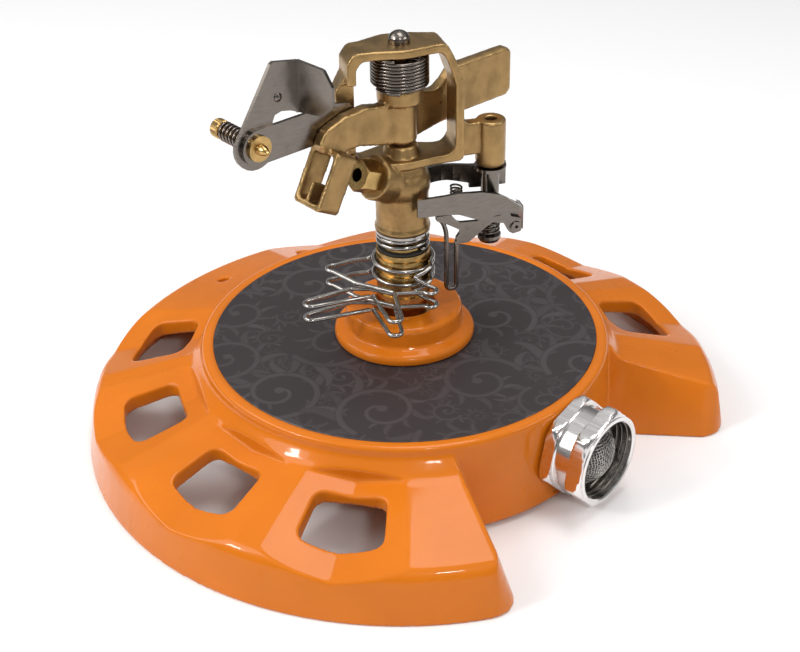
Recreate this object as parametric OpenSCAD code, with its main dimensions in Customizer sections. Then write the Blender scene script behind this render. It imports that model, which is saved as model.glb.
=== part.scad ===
// Impulse sprinkler on a heavy die-cast base.
// +Z is up and is the swivel axis, z = 0 is the ground, and the hose inlet points along +X.

/* [Base casting] */
// Radius of the base where it meets the ground
base_r = 118.2; // [112:0.2:126]
// How far the upright outer wall leans in
rim_draft = 2.8; // [1:0.1:6]
// Height of the rim at the radial ridges
ridge_z = 19.5; // [17:0.5:23]
// Height of the rim in the middle of each window panel
valley_z = 15; // [12:0.5:17]
// Outer radius of the raised drum
drum_r = 74.3; // [72:0.1:78]
// Height of the drum's rim
drum_z = 37; // [33:0.5:42]
// Height of the skirt where it leaves the drum
skirt_z = 28; // [25:0.5:31]
// Wall thickness of the casting
wall = 3; // [2.4:0.1:4]
// Clear height under the drum wall inside the hose cut-out
drum_lift = 1.8; // [1:0.1:8]
// Half angle of the hose cut-out in the skirt
cutout_angle = 35; // [30:1:40]
// Where the two faces of the cut-out meet, along +X
cutout_apex = 13.8; // [8:0.2:20]
// Draft of the cut-out faces
cutout_draft = 17; // [8:1:22]
// Where the carrying windows begin, as a share of the skirt's width
window_start = 0.17; // [0.12:0.01:0.3]
// Where the carrying windows end, as a share of the skirt's width
window_end = 0.725; // [0.55:0.005:0.8]
// Half angle of each window
window_half = 8; // [6:0.1:10]
// Radius of the upright corners beside the cut-out
foot_round = 9; // [6:0.5:14]
// Radius of the flat where the hose inlet leaves the drum
flat_r = 18.6; // [17:0.1:22]
// Corner radius of the windows
window_round = 4; // [2:0.5:6]
// Radius of the anchor hole at the back
anchor_r = 2.4; // [1.5:0.1:4]
// Distance of the anchor hole from the base's edge
anchor_edge = 20.2; // [16:0.2:26]

/* [Label and hub] */
// Width of the drum's rim around the label plate
label_edge = 4.3; // [3.5:0.1:10]
// Thickness of the label plate
label_t = 0.6; // [0.4:0.1:1.2]
// Radius of the hub's flange
hub_flange_r = 25.5; // [23:0.1:30]
// Radius of the hub's upper part
hub_r = 20.9; // [18:0.1:22]
// Height of the hub's top above the ground
hub_top = 49.3; // [46:0.1:51]
// Radius of the hole in the hub's top
hub_hole_r = 11.2; // [10.8:0.1:14]

/* [Hose inlet] */
// Height of the inlet's centre above the ground
inlet_z = 20.2; // [20:0.1:23]
// How far the coupling's mouth stands out of the drum
mouth_out = 17.1; // [16:0.1:22]
// Width of the coupling across its flats
nut_flats = 32.2; // [31.4:0.1:34]
// Length of the coupling's rear hexagon
nut_back = 4.2; // [3:0.1:5]
// Length of the coupling's front hexagon
nut_front = 6.4; // [5:0.1:7]
// Resting turn of the coupling's corners
nut_turn = 44; // [0:1:59]
// Length of the threaded land at the coupling's mouth
land = 4; // [3:0.1:6]
// Radius of the coupling's thread
hose_r = 14.1; // [13.2:0.1:14.5]
// Radius of the water way in the inlet pipe
pipe_bore = 6.3; // [5:0.1:7]

/* [Bearing] */
// Radius of the fixed bearing sleeve
sleeve_r = 9.6; // [8.8:0.1:9.8]
// Top of the fixed bearing sleeve
sleeve_top = 72; // [70.5:0.5:73]
// Radius of the turning nipple's bearing
nipple_r = 6.2; // [5.2:0.1:6.6]
// Radius of the nipple's collar under the body
nipple_collar_r = 7.7; // [7.2:0.1:8.4]
// Radius of the water way in the nipple
nipple_bore = 4.6; // [3:0.1:4.8]
// Diameter of the friction collars' wire
collar_wire = 1.6; // [1.3:0.1:1.7]

/* [Sprinkler body] */
// Direction of the bridge over the arm, from +X
head_az = 57; // [40:1:70]
// Height of the body's lower edge
body_z = 79.8; // [79:0.1:81]
// Radius of the body's tube
body_r = 9.3; // [8.8:0.1:10]
// Height of the seat under the arm
seat_z = 112.2; // [111.5:0.1:112.6]
// Height of the bridge's top face
bridge_z = 148; // [147:0.5:150]
// Thickness of the bridge's straps
strap = 3; // [2.4:0.1:3.4]
// Distance of the trip lug from the swivel axis
lug_x = 32.3; // [30:0.1:35]
// Radius of the trip lug
lug_r = 5.3; // [4.6:0.1:6]
// Lower face of the trip lug
lug_z0 = 99.4; // [99:0.1:101]
// Upper face of the trip lug
lug_z1 = 116.6; // [114:0.1:118]
// Direction of the nozzle, from +X
nozzle_az = -100; // [-106:1:-96]
// Elevation of the nozzle
nozzle_el = 24; // [20:1:26]
// Height where the nozzle's line crosses the swivel axis
nozzle_z0 = 97.2; // [96:0.1:99]
// Radius of the nozzle's outlet
nozzle_r = 2.4; // [1.5:0.1:3]
// Width of the nozzle across its flats
nozzle_flats = 10.2; // [9.5:0.1:11.5]

/* [Arm] */
// Direction of the arm's counterweight, from +X
arm_az = 82; // [80:1:86]
// Thickness of the arm's blade
arm_t = 4.4; // [3.6:0.1:4.6]
// Radius of the pivot pin
pin_r = 2.2; // [1.6:0.1:2.6]
// Wall of the arm's bush
bush_wall = 1.2; // [0.9:0.1:1.4]
// Diameter of the arm spring's wire
arm_spring_wire = 1.1; // [0.8:0.1:1.15]
// Turns of the arm spring
arm_spring_turns = 9; // [6:1:9]
// Tilt of the drive spoon
spoon_el = 28; // [24:1:32]
// Width of the drive spoon
spoon_w = 14; // [11:0.5:15]
// Height of the drive spoon
spoon_h = 20.5; // [18:0.5:21.5]
// Depth of the drive spoon along the jet
spoon_d = 9; // [7:0.5:9.5]
// Wall of the drive spoon
spoon_wall = 1.9; // [1.5:0.1:2.8]

/* [Deflector] */
// Thickness of the deflector's sheet steel
sheet = 1.4; // [1:0.1:1.6]
// Distance of the diffuser screw from the swivel axis
screw_x = 57.3; // [55:0.1:60]
// Height of the diffuser screw
screw_z = 127; // [126:0.1:128]
// Half height of the deflector's bracket
bracket_half = 6; // [5:0.1:6.2]
// Radius of the diffuser screw
screw_r = 1.8; // [1.4:0.1:2.1]
// Length of the folded wing of the deflector flap
wing_len = 13; // [10:0.5:14]

/* [Trip mechanism] */
// Radius of the trip shaft
trip_r = 2; // [1.6:0.1:2.4]
// Height of the reversing lever
reverse_h = 8.8; // [7:0.1:9]
// Height of the trip lever's band
band_h = 6.6; // [4:0.1:7]
// Diameter of the trip wire
trip_wire_d = 1.7; // [1.3:0.1:2]
// Lower end of the trip wire
trip_wire_z = 54.4; // [53.6:0.1:55]

/* [Hidden] */

$fn = 72;
eps = 0.01;
seat = 0.05;         // gap between flat faces that seat on each other
fit = 0.05;          // radial clearance of pins and running fits
loose = 0.4;         // clearance of parts that only pass each other
cast_orange = [0.93, 0.5, 0.1];
cast_brass = [0.6, 0.47, 0.27];
bright_brass = [0.8, 0.62, 0.3];
steel = [0.62, 0.6, 0.58];
chrome = [0.82, 0.82, 0.84];

label_top = drum_z - 0.1;
label_bottom = label_top - label_t;
window_steps = [-151, -121, -91, -61, 60, 90, 120, 150];
ridge_half = 12.5;   // half angle of a window panel between its ridges
rim_r = base_r - rim_draft;
skirt_in = drum_r + 4.5;
skirt_out = rim_r - 2.4;
window_in = skirt_in + window_start * (skirt_out - skirt_in);
window_out = skirt_in + window_end * (skirt_out - skirt_in);
anchor_at = base_r - anchor_edge;
label_r = drum_r - label_edge;

manifold_r = sleeve_r + 0.6;
sleeve_shank = nipple_r + 2;
sleeve_neck_z = 53.5;
manifold_top = hub_top - 4;
inlet_x = drum_r + mouth_out;
flat_x = drum_r - 0.2;
nut_x0 = flat_x + loose;
nut_bore_x = nut_x0 + 1.8;
thread_x = inlet_x - land;
pipe_end = drum_r - 14;
tail_r = pipe_bore + 2.6;
collar_r = sleeve_r + 4 * fit + collar_wire / 2;
upper_collar_z = 68.4;
collar_step = 5.5;
lower_collar_z = upper_collar_z - collar_step;

bridge_half_l = 19.5;
bridge_half_r = 20.7;
bridge_front = -7;
bridge_back = 6;
strap_z = 105;
pin_seat_z = seat_z - 10;
arm_bottom = seat_z + 1.2;
arm_hub_top = 127.5;
arm_seat_top = 133;
bush_r = pin_r + fit + bush_wall;
nozzle_hex_x0 = 13.8;
nozzle_hex_x1 = 21;
rivet_xs = [-22.5, -29];
rivet_at_z = 125;
rivet_r = 1.3;
rivet_deep = 0.28 * arm_t;
bracket_y0 = arm_t / 2 + seat;
bracket_y1 = bracket_y0 + sheet;
flap_y0 = bracket_y1 + seat;
flap_y1 = flap_y0 + sheet;
fold_x = -39.6;
flap_low_z = screw_z + bracket_half + loose + 0.2;
lever_z0 = lug_z0 - 0.4;
frame_z = 81.6;
frame_end_x = 42.3;
lever_end_x = 43.7;
frame_wall_y = -5.6;
rivet_x = 40.2;
rivet_z = 76.4;
spring_z = 72.5;

function unit(v) = v / norm(v);

// Rounds every corner of an outline; each point may carry its own radius as a third number.
function rounded(points, radius, steps = 4) =
    let (n = len(points))
    [for (i = [0:n - 1])
        let (a = points[(i + n - 1) % n], b = points[i], c = points[(i + 1) % n],
            here = [b[0], b[1]],
            u = unit([a[0], a[1]] - here), v = unit([c[0], c[1]] - here),
            angle = acos(max(-1, min(1, u * v))),
            want = len(b) > 2 ? b[2] : radius,
            room = 0.48 * min(norm([a[0], a[1]] - here), norm([c[0], c[1]] - here)),
            back = min(want / tan(angle / 2), room),
            r = back * tan(angle / 2))
        each r < 0.05 || angle > 178 ? [here] :
            let (centre = here + unit(u + v) * r / sin(angle / 2),
                s = here + u * back - centre, e = here + v * back - centre,
                a0 = atan2(s[1], s[0]),
                turn = atan2(s[0] * e[1] - s[1] * e[0], s * e))
            [for (k = [0:steps]) centre + r * [cos(a0 + turn * k / steps), sin(a0 + turn * k / steps)]]];

function helix(r, z0, pitch, a0, a1, per_turn = 20) =
    let (n = ceil(abs(a1 - a0) / 360 * per_turn))
    [for (i = [0:n]) let (a = a0 + (a1 - a0) * i / n)
        [r * cos(a), r * sin(a), z0 + pitch * (a - a0) / 360]];

// Points of a round bend that ends a hairpin, from one strand to the other; hand picks the first.
function hairpin(tip, along, half, hand = 1, steps = 5) =
    let (d = unit(along), side = hand * unit(cross([0, 0, 1], d)))
    [for (i = [0:steps]) let (a = -90 + 180 * i / steps)
        tip - d * half + half * (d * cos(a) + side * sin(a))];

// A round wire along a path; up is any direction that the path never follows.
module wire(path, r, up = [0, 0, 1], sides = 8) {
    n = len(path);
    points = [for (i = [0:n - 1])
        let (t = unit(path[min(i + 1, n - 1)] - path[max(i - 1, 0)]),
            u = unit(cross(up, t)), v = cross(t, u))
        each [for (j = [0:sides - 1])
            path[i] + r * (u * cos(360 * j / sides) + v * sin(360 * j / sides))]];
    walls = [for (i = [0:n - 2], j = [0:sides - 1])
        let (k = (j + 1) % sides)
        [i * sides + j, (i + 1) * sides + j, (i + 1) * sides + k, i * sides + k]];
    near = [[for (j = [0:sides - 1]) j]];
    far = [[for (j = [sides - 1:-1:0]) (n - 1) * sides + j]];
    polyhedron(points, concat(near, walls, far), convexity = 6);
}

module ring(r_out, r_in, z0, z1) {
    translate([0, 0, z0])
        difference() {
            cylinder(r = r_out, h = z1 - z0);
            translate([0, 0, -eps]) cylinder(r = r_in, h = z1 - z0 + 2 * eps);
        }
}

// A plate standing in the x-z plane between y0 and y1.
module upright(y0, y1) {
    translate([0, y1, 0]) rotate([90, 0, 0]) linear_extrude(y1 - y0) children();
}

module on_head() { rotate([0, 0, head_az]) children(); }
module on_arm() { rotate([0, 0, arm_az]) children(); }
module on_lug() { on_head() translate([lug_x, 0, 0]) children(); }
module on_nozzle() {
    rotate([0, 0, nozzle_az]) translate([0, 0, nozzle_z0]) rotate([0, 90 - nozzle_el, 0]) children();
}
module on_inlet(x) { translate([x, 0, inlet_z]) rotate([0, 90, 0]) children(); }

// One side of the hose cut-out, moved outwards by the given amount.
module cutout_side(grow) {
    span = 300;
    translate([cutout_apex, 0, 0]) rotate([0, 0, cutout_angle]) rotate([-cutout_draft, 0, 0])
        translate([-span / 2, grow - span, -50]) cube([span * 1.5, span, 150]);
}

module cutout(grow) {
    intersection() {
        cutout_side(grow);
        mirror([0, 1, 0]) cutout_side(grow);
        translate([0, -200, -60]) cube([300, 400, 200]);
    }
}

// The corner between the rim and a face of the cut-out, outside a round of the given radius.
module foot_corner(radius) {
    reach = sqrt(base_r * base_r - pow(cutout_apex * sin(cutout_angle), 2)) - cutout_apex * cos(cutout_angle);
    for (s = [0, 1])
        mirror([0, s, 0]) translate([cutout_apex, 0, 0])
            rotate([0, 0, cutout_angle]) rotate([-cutout_draft, 0, 0])
                translate([reach - foot_round, foot_round, -50]) difference() {
                    translate([0, -foot_round - 12, 0]) cube([foot_round + 16, foot_round + 12, 150]);
                    translate([0, 0, -1]) cylinder(r = radius, h = 152);
                }
}

module skirt_section() {
    polygon(rounded([[drum_r - 6, 0, 0], [base_r, 0, 0], [rim_r, ridge_z - 3, 9], [skirt_out, ridge_z, 5],
        [skirt_in, skirt_z, 7], [drum_r + 0.4, skirt_z + 5, 6], [drum_r - 0.6, drum_z - 1.5, 0],
        [drum_r - 6, drum_z - 1.5, 0]], 3, 5));
}

module cavity_section() {
    polygon(rounded([[drum_r - 8, -1, 0], [base_r - wall, -1, 0], [rim_r - wall, valley_z - wall - 2, 1],
        [skirt_out - 3, valley_z - wall, 2], [skirt_in, skirt_z - 3.6 - wall, 2],
        [drum_r - 8, skirt_z - 3.6 - wall, 0]], 2, 3));
}

// Takes away everything above the plane through p with normal n.
module above(p, n) {
    span = 120;
    translate(p) rotate([0, acos(n[2] / norm(n)), atan2(n[1], n[0])])
        translate([-span / 2, -span / 2, 0]) cube([span, span, span / 2]);
}

// The two sloping planes of a window panel, which meet in a shallow valley.
module panel_cut() {
    low = [skirt_out, 0, valley_z];
    ridge_in = skirt_in * [cos(ridge_half), sin(ridge_half)];
    ridge_out = skirt_out * [cos(ridge_half), sin(ridge_half)];
    planes = [for (s = [-1, 1])
        -s * cross([low[0] - ridge_out[0], -s * ridge_out[1], low[2] - ridge_z],
            [ridge_in[0] - ridge_out[0], s * (ridge_in[1] - ridge_out[1]), skirt_z - ridge_z])];
    intersection() {
        above(low, planes[0]);
        above(low, planes[1]);
        translate([0, 0, 5]) linear_extrude(30)
            polygon([[drum_r + 3, -16], [base_r + 8, -30], [base_r + 8, 30], [drum_r + 3, 16]]);
    }
}

module window_cut() {
    translate([0, 0, -5]) linear_extrude(50)
        polygon(rounded([window_in * [cos(window_half), -sin(window_half)],
            window_out * [cos(window_half), -sin(window_half)],
            [window_out + 1.5, 0, 40],
            window_out * [cos(window_half), sin(window_half)],
            window_in * [cos(window_half), sin(window_half)]], window_round, 5));
}

module base_casting() {
    color(cast_orange)
    difference() {
        union() {
            difference() {
                rotate_extrude($fn = 180) skirt_section();
                cutout(0);
                foot_corner(foot_round);
                for (a = window_steps) rotate([0, 0, a]) panel_cut();
            }
            rotate_extrude($fn = 180)
                polygon([[0, drum_lift], [drum_r + 1.4, drum_lift], [drum_r, drum_z - 1.4],
                    [drum_r - 0.5, drum_z - 0.4], [drum_r - 1.4, drum_z], [0, drum_z]]);
        }
        on_inlet(flat_x) cylinder(r = flat_r, h = 12);
        translate([0, 0, -1]) cylinder(r = drum_r - wall, h = label_bottom - seat - wall + 1, $fn = 180);
        difference() {
            rotate_extrude($fn = 180) cavity_section();
            cutout(wall);
            foot_corner(foot_round - wall);
        }
        for (a = window_steps) rotate([0, 0, a]) window_cut();
        translate([0, 0, label_bottom - seat]) cylinder(r = label_r + 0.2, h = 10, $fn = 180);
        cylinder(r = manifold_r + loose, h = 100);
        on_inlet(drum_r - 2 * wall) cylinder(r = tail_r + fit, h = 30);
        translate([-anchor_at, 0, -5]) cylinder(r = anchor_r, h = 50, $fn = 32);
    }
}

module label_disc() {
    color([0.27, 0.25, 0.25]) ring(label_r, manifold_r + loose, label_bottom, label_top);
}

module hub_boss() {
    color(cast_orange)
    rotate_extrude()
        polygon(rounded([[manifold_r + fit, label_top + seat, 0], [hub_flange_r, label_top + seat, 1],
            [hub_flange_r, label_top + 3.2, 2.4], [hub_r + 0.4, label_top + 5, 1.6], [hub_r, hub_top, 2],
            [hub_hole_r, hub_top, 0.6], [hub_hole_r, manifold_top + 1, 0],
            [manifold_r + fit, manifold_top + 1, 0]], 1, 5));
}

module inlet_manifold() {
    color(cast_brass)
    difference() {
        union() {
            translate([0, 0, inlet_z]) cylinder(r = manifold_r, h = manifold_top - inlet_z);
            translate([0, 0, inlet_z]) sphere(r = manifold_r);
            on_inlet(0) cylinder(r = tail_r - 0.6, h = pipe_end);
            ring(manifold_r + 3.6, manifold_r - 1, label_bottom - wall - 5, label_bottom - wall - 2 * seat);
        }
        translate([0, 0, inlet_z]) cylinder(r = pipe_bore, h = 60);
        translate([0, 0, manifold_top - 17]) cylinder(r = sleeve_shank + fit, h = 60);
        on_inlet(0) cylinder(r = pipe_bore - 0.8, h = 70);
    }
}

module inlet_tailpiece() {
    color(cast_brass)
    difference() {
        union() {
            on_inlet(pipe_end + seat) cylinder(r = tail_r, h = nut_bore_x - pipe_end + eps);
            on_inlet(nut_bore_x + seat) cylinder(r = hose_r - 1.6, h = 1.8);
        }
        on_inlet(0) cylinder(r = pipe_bore - 0.8, h = 120);
    }
}

module coupling_nut() {
    hex_r = nut_flats / 2 / cos(30);
    flat = nut_flats / 2;
    color(chrome)
    difference() {
        union() {
            intersection() {
                on_inlet(nut_x0) rotate([0, 0, nut_turn]) cylinder(r = hex_r, h = nut_back, $fn = 6);
                on_inlet(nut_x0) cylinder(r1 = flat + 1.2, r2 = flat + 1.2 + nut_back, h = nut_back);
                on_inlet(nut_x0) cylinder(r1 = flat + 1.2 + nut_back, r2 = flat + 1.2, h = nut_back);
            }
            on_inlet(nut_x0 + 1) cylinder(r = flat - 0.9, h = inlet_x - nut_x0 - 2);
            intersection() {
                on_inlet(inlet_x - nut_front) rotate([0, 0, nut_turn])
                    cylinder(r = hex_r, h = nut_front, $fn = 6);
                on_inlet(inlet_x - nut_front)
                    cylinder(r1 = flat + 0.6, r2 = flat + 0.6 + nut_front, h = nut_front);
                on_inlet(inlet_x - nut_front)
                    cylinder(r1 = flat - 0.1 + 1.4 * nut_front, r2 = flat - 0.1, h = nut_front);
            }
        }
        on_inlet(nut_x0 - 1) cylinder(r = tail_r + 0.08, h = 40);
        on_inlet(nut_bore_x) cylinder(r = hose_r + 0.3, h = thread_x - nut_bore_x);
        on_inlet(nut_bore_x) cylinder(r = hose_r, h = 40);
    }
}

module hose_washer() {
    color([0.15, 0.15, 0.15])
    on_inlet(nut_bore_x + 1.8 + 2 * seat) ring(hose_r - 0.2, pipe_bore, 0, 1.8);
}

module inlet_screen() {
    foot = nut_bore_x + 3.6 + 3 * seat;
    tall = thread_x - 0.3 - foot;
    brim = 0.7;
    dome = hose_r - 2.2;
    color(steel)
    on_inlet(foot) rotate_extrude()
        polygon([[hose_r - 1, 0], [hose_r - 1, brim], [dome, brim],
            for (a = [10:10:80]) [dome * cos(a), brim + (tall - brim) * sin(a)],
            [0, tall], [0, tall - 0.5],
            for (a = [80:-10:10]) [(dome - 0.6) * cos(a), brim + (tall - brim - 0.6) * sin(a)],
            [dome - 0.6, 0]]);
}

module bearing_sleeve() {
    groove = 0.7;
    color(bright_brass)
    difference() {
        union() {
            translate([0, 0, manifold_top - 16.5])
                cylinder(r = sleeve_shank, h = sleeve_neck_z - manifold_top + 16.5);
            translate([0, 0, sleeve_neck_z])
                cylinder(r = sleeve_r, h = sleeve_top - sleeve_neck_z);
        }
        for (z = [upper_collar_z + 1.9, lower_collar_z + 1.5, sleeve_neck_z + 2.4])
            ring(sleeve_r + 1, sleeve_r - groove, z - 0.7, z + 0.7);
        translate([0, 0, manifold_top - 20]) cylinder(r = nipple_r + 0.08, h = 80);
    }
}

module sleeve_seal() {
    color([0.15, 0.15, 0.15])
    ring(nipple_collar_r + 1.2, nipple_r + fit, sleeve_top + seat, sleeve_top + 0.75);
}

// A friction collar: turns of wire round the sleeve, whose two ends are folded into trip tabs.
// z is the height of the first turn; the tabs reach out to the front, to the left and to the right.
module friction_collar(z) {
    bend = 1.45 * collar_wire;
    outside = collar_r + 1.15 * collar_wire;
    function at(r, a, drop) = [r * cos(a), r * sin(a), -drop];
    front = concat([[4, -20.8, -6.3]], hairpin([21.4, -28.8, -6.4], [0.72, -0.69, 0], bend));
    left = concat([[8.6, -14.7, -5.9], [-6, -19, -5.4]],
        hairpin([-20.2, -18.2, -4.8], [-0.84, -0.54, 0], bend, -1), [[-15.5, -10.4, -3.4]]);
    coil = helix(collar_r, 0, -(collar_wire + 0.06), 15, 545, 22);
    turns = concat([at(outside, 570, -coil[len(coil) - 1][2] + 0.2)], [for (i = [len(coil) - 1:-1:0]) coil[i]]);
    right = concat([at(outside, 2, 0.8), at(outside, -14, 1.9), at(outside, -33, 2.9), [14, -3.5, -6]],
        hairpin([18.2, -4.9, -7.2], [0.94, -0.34, 0], bend, -1), [[7, -13.2, -7.7], [-1.8, -15.9, -7.7]]);
    low = concat([[-7, -20.2, -7.7]], hairpin([-11.6, -38.6, -7.7], [-0.35, -0.94, 0], bend), [[1.6, -20, -7.7]]);
    translate([0, 0, z]) wire(concat(front, left, turns, right, low), collar_wire / 2);
}

module friction_collar_upper() {
    color(chrome) friction_collar(upper_collar_z);
}

module friction_collar_lower() {
    color(chrome) friction_collar(lower_collar_z);
}

module bearing_nipple() {
    color(bright_brass)
    difference() {
        union() {
            translate([0, 0, manifold_top - 12]) cylinder(r = nipple_r, h = body_z + 12 - manifold_top + 12);
            translate([0, 0, sleeve_top + 1]) cylinder(r = nipple_collar_r, h = body_z - 1 - seat - sleeve_top - 1);
        }
        translate([0, 0, manifold_top - 20]) cylinder(r = nipple_bore, h = 120);
    }
}

module bearing_spring() {
    r = nipple_collar_r + 1.1;
    thick = 0.75;
    low = sleeve_top + 0.75 + thick + fit;
    high = body_z - 1 - thick - fit;
    color(chrome) wire(helix(r, low, (high - low) / 2, 0, 720, 22), thick);
}

module thrust_washer() {
    color(chrome) ring(body_r + 0.4, nipple_r + fit, body_z - 1, body_z - seat);
}

module body_shell() {
    rotate_extrude()
        polygon(rounded([[0, body_z, 0], [body_r + 0.6, body_z, 0.4], [body_r + 0.6, body_z + 1.4, 0.6],
            [body_r, body_z + 2.4, 1], [body_r, 94, 8], [8.6, 103, 8], [6.6, 108.5, 6],
            [5.4, seat_z, 1], [0, seat_z, 0]], 1, 4));
    on_nozzle() cylinder(r = 7.9, h = nozzle_hex_x0 - seat);
    translate([0, 0, nozzle_z0]) sphere(r = body_r + 0.7);
}

module bridge() {
    intersection() {
        upright(-12, 12)
            difference() {
                polygon(rounded([[-bridge_half_l, strap_z, 3], [bridge_half_r, strap_z, 2],
                    [bridge_half_r, 133, 6], [17.2, 143, 6], [14.6, bridge_z, 3],
                    [-17, bridge_z, 3], [-bridge_half_l, 144.5, 2]], 2));
                polygon(rounded([[-bridge_half_l + strap, strap_z + strap, 3],
                    [bridge_half_r - strap, strap_z + strap, 4], [bridge_half_r - strap, 133, 4],
                    [14.4, 142.6, 3], [12.6, bridge_z - strap, 2], [-14.6, bridge_z - strap, 2.5],
                    [-bridge_half_l + strap, 142, 2]], 2));
            }
        linear_extrude(200)
            polygon(rounded([[-24, bridge_front + 0.6], [-10, bridge_front, 8], [0, bridge_front - 2, 12],
                [10, bridge_front, 8], [24, bridge_front + 0.6], [24, bridge_back - 1],
                [12, bridge_back, 6], [4, bridge_back + 3, 6], [-4, bridge_back + 3.4, 6],
                [-13, bridge_back - 0.6, 6], [-24, bridge_back - 1.6]], 3));
    }
}

module sprinkler_body() {
    color(cast_brass)
    difference() {
        union() {
            body_shell();
            on_head() {
                bridge();
                upright(-4.4, 4.4)
                    polygon(rounded([[-bridge_half_l + 1, 142, 0], [-bridge_half_l - 3.4, 134, 1.4],
                        [-bridge_half_l - 3.6, 121, 1.4], [-bridge_half_l + 1, 117, 0]], 1));
                upright(-2.4, 2.4)
                    polygon(rounded([[bridge_half_r - 1, strap_z - 0.4, 0], [lug_x, strap_z - 0.4, 0],
                        [lug_x, lug_z1 - 0.4, 0], [bridge_half_r + 3, lug_z1 - 0.2, 1],
                        [bridge_half_r - 1, lug_z1 + 3, 0]], 1));
            }
            on_lug() rotate_extrude()
                polygon(rounded([[0, lug_z0, 0], [lug_r - 0.4, lug_z0, 0.6], [lug_r, lug_z0 + 2, 1],
                    [lug_r, lug_z1, 0.8], [0, lug_z1, 0]], 1, 3));
        }
        on_head() {
            translate([-30, -12, arm_bottom - 2]) cube([13.9, 9.2, arm_seat_top + 6 - arm_bottom]);
            translate([16, bridge_back - 1.4, arm_bottom - 2]) cube([8, 9, arm_seat_top + 4 - arm_bottom]);
        }
        translate([0, 0, body_z - 1]) cylinder(r = nipple_r + fit, h = nozzle_z0 + 1.5 - body_z + 1);
        on_nozzle() cylinder(r = 3.4, h = 20);
        on_nozzle() translate([0, 0, 8]) cylinder(r = 4.6 + fit, h = 20);
        on_nozzle() translate([0, 0, nozzle_hex_x0 - seat]) cylinder(r = nozzle_flats / 2 / cos(30) + 0.3, h = 9);
        translate([0, 0, pin_seat_z - 1]) cylinder(r = pin_r + fit, h = 60);
        on_lug() translate([0, 0, lug_z0 - 1]) cylinder(r = trip_r + fit, h = lug_z1 - lug_z0 + 2);
        for (z = [126, 130.5])
            on_head() upright(-6, 6)
                translate([-bridge_half_l - 3.7, z]) circle(r = 0.7, $fn = 24);
    }
}

module nozzle() {
    color(bright_brass)
    on_nozzle()
    difference() {
        union() {
            translate([0, 0, 8.2]) cylinder(r = 4.6, h = 8.2);
            intersection() {
                translate([0, 0, nozzle_hex_x0])
                    cylinder(r = nozzle_flats / 2 / cos(30), h = nozzle_hex_x1 - nozzle_hex_x0, $fn = 6);
                translate([0, 0, nozzle_hex_x0])
                    cylinder(r1 = nozzle_flats / 2 + 8, r2 = nozzle_flats / 2 + 0.1,
                        h = nozzle_hex_x1 - nozzle_hex_x0);
            }
        }
        translate([0, 0, 7]) cylinder(r = nozzle_r, h = 20);
        translate([0, 0, 8]) cylinder(r1 = 3.4, r2 = nozzle_r, h = 5);
    }
}

module pivot_pin() {
    cap_r = pin_r + 1.5;
    color(steel) {
        translate([0, 0, pin_seat_z - 0.8]) cylinder(r = pin_r, h = bridge_z - pin_seat_z + 1);
        translate([0, 0, bridge_z + seat]) rotate_extrude()
            polygon([[0, 0], [cap_r, 0], for (a = [10:10:80]) [cap_r * cos(a), 0.8 + 3.2 * sin(a)], [0, 4]]);
    }
}

module arm_blade() {
    upright(-arm_t / 2, arm_t / 2)
        polygon(rounded([[-36, 122.2, 1], [-33.2, 126.6, 1.5], [-24.6, 129.4, 4], [-15.7, 130, 4],
            [-9, 128.6, 2], [9, 128.6, 2], [15, 127.4, 4], [19, 130, 4], [23, 133.8, 3], [48.4, 134, 1.6],
            [50.2, 132.2, 1.2], [50.2, 118, 1.2], [48.2, 116.2, 1.6], [27, 116, 3], [15, 114.8, 3],
            [6, arm_bottom, 2], [-6, arm_bottom, 2], [-13.6, 115.4, 3], [-20, 117.2, 3], [-25.2, 117.2, 1],
            [-34.6, 118.6, 1]], 1));
}

module spoon_frame() {
    translate([-37.2, 0, 111.2]) rotate([0, 0, 180]) rotate([0, -spoon_el, 0]) children();
}

module impact_arm() {
    slot_w = spoon_w - 2 * spoon_wall;
    slot_h = spoon_h - 2 * spoon_wall;
    color(cast_brass)
    on_arm()
    difference() {
        union() {
            arm_blade();
            translate([0, 0, arm_bottom]) cylinder(r = 5.6, h = arm_hub_top - arm_bottom + eps);
            translate([0, 0, arm_hub_top]) cylinder(r = 7.9, h = arm_seat_top - arm_hub_top);
            spoon_frame() difference() {
                translate([-spoon_d, 0, 0]) rotate([90, 0, 90]) linear_extrude(spoon_d)
                    polygon(rounded([[-spoon_w / 2, -spoon_h / 2], [spoon_w / 2, -spoon_h / 2],
                        [spoon_w / 2, spoon_h / 2], [-spoon_w / 2, spoon_h / 2]], 1.2));
                translate([-spoon_d - 1, 0, 0]) rotate([90, 0, 90]) linear_extrude(spoon_d + 2)
                    polygon(rounded([[-slot_w / 2, -slot_h / 2], [slot_w / 2, -slot_h / 2],
                        [slot_w / 2, slot_h / 2], [-slot_w / 2, slot_h / 2]], 1.4));
            }
            spoon_frame() intersection() {
                translate([-spoon_d + 0.6, -slot_w / 2 - 0.5, -slot_h / 2 - 0.5])
                    cube([spoon_d - 1.2, slot_w + 1, slot_h * 0.42]);
                translate([-1, slot_w / 2 + 4, -slot_h / 2 - 1]) ring(11, 9.6, 0, 12);
            }
        }
        translate([0, 0, arm_bottom - 1]) cylinder(r = bush_r + fit, h = 40);
        for (x = rivet_xs)
            translate([x, 5, rivet_at_z]) rotate([90, 0, 0])
                cylinder(r = rivet_r + fit, h = 5 + rivet_deep + seat, $fn = 32);
    }
}

module arm_bush() {
    top = bridge_z - strap - 1.6;
    color([0.72, 0.45, 0.25])
    ring(bush_r, pin_r + fit, arm_bottom - 0.9, top);
}

module arm_washer() {
    top = bridge_z - strap - 1.6;
    color([0.8, 0.45, 0.25]) ring(bush_r + 1.6, pin_r + fit, top + seat, top + 1);
}

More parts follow.
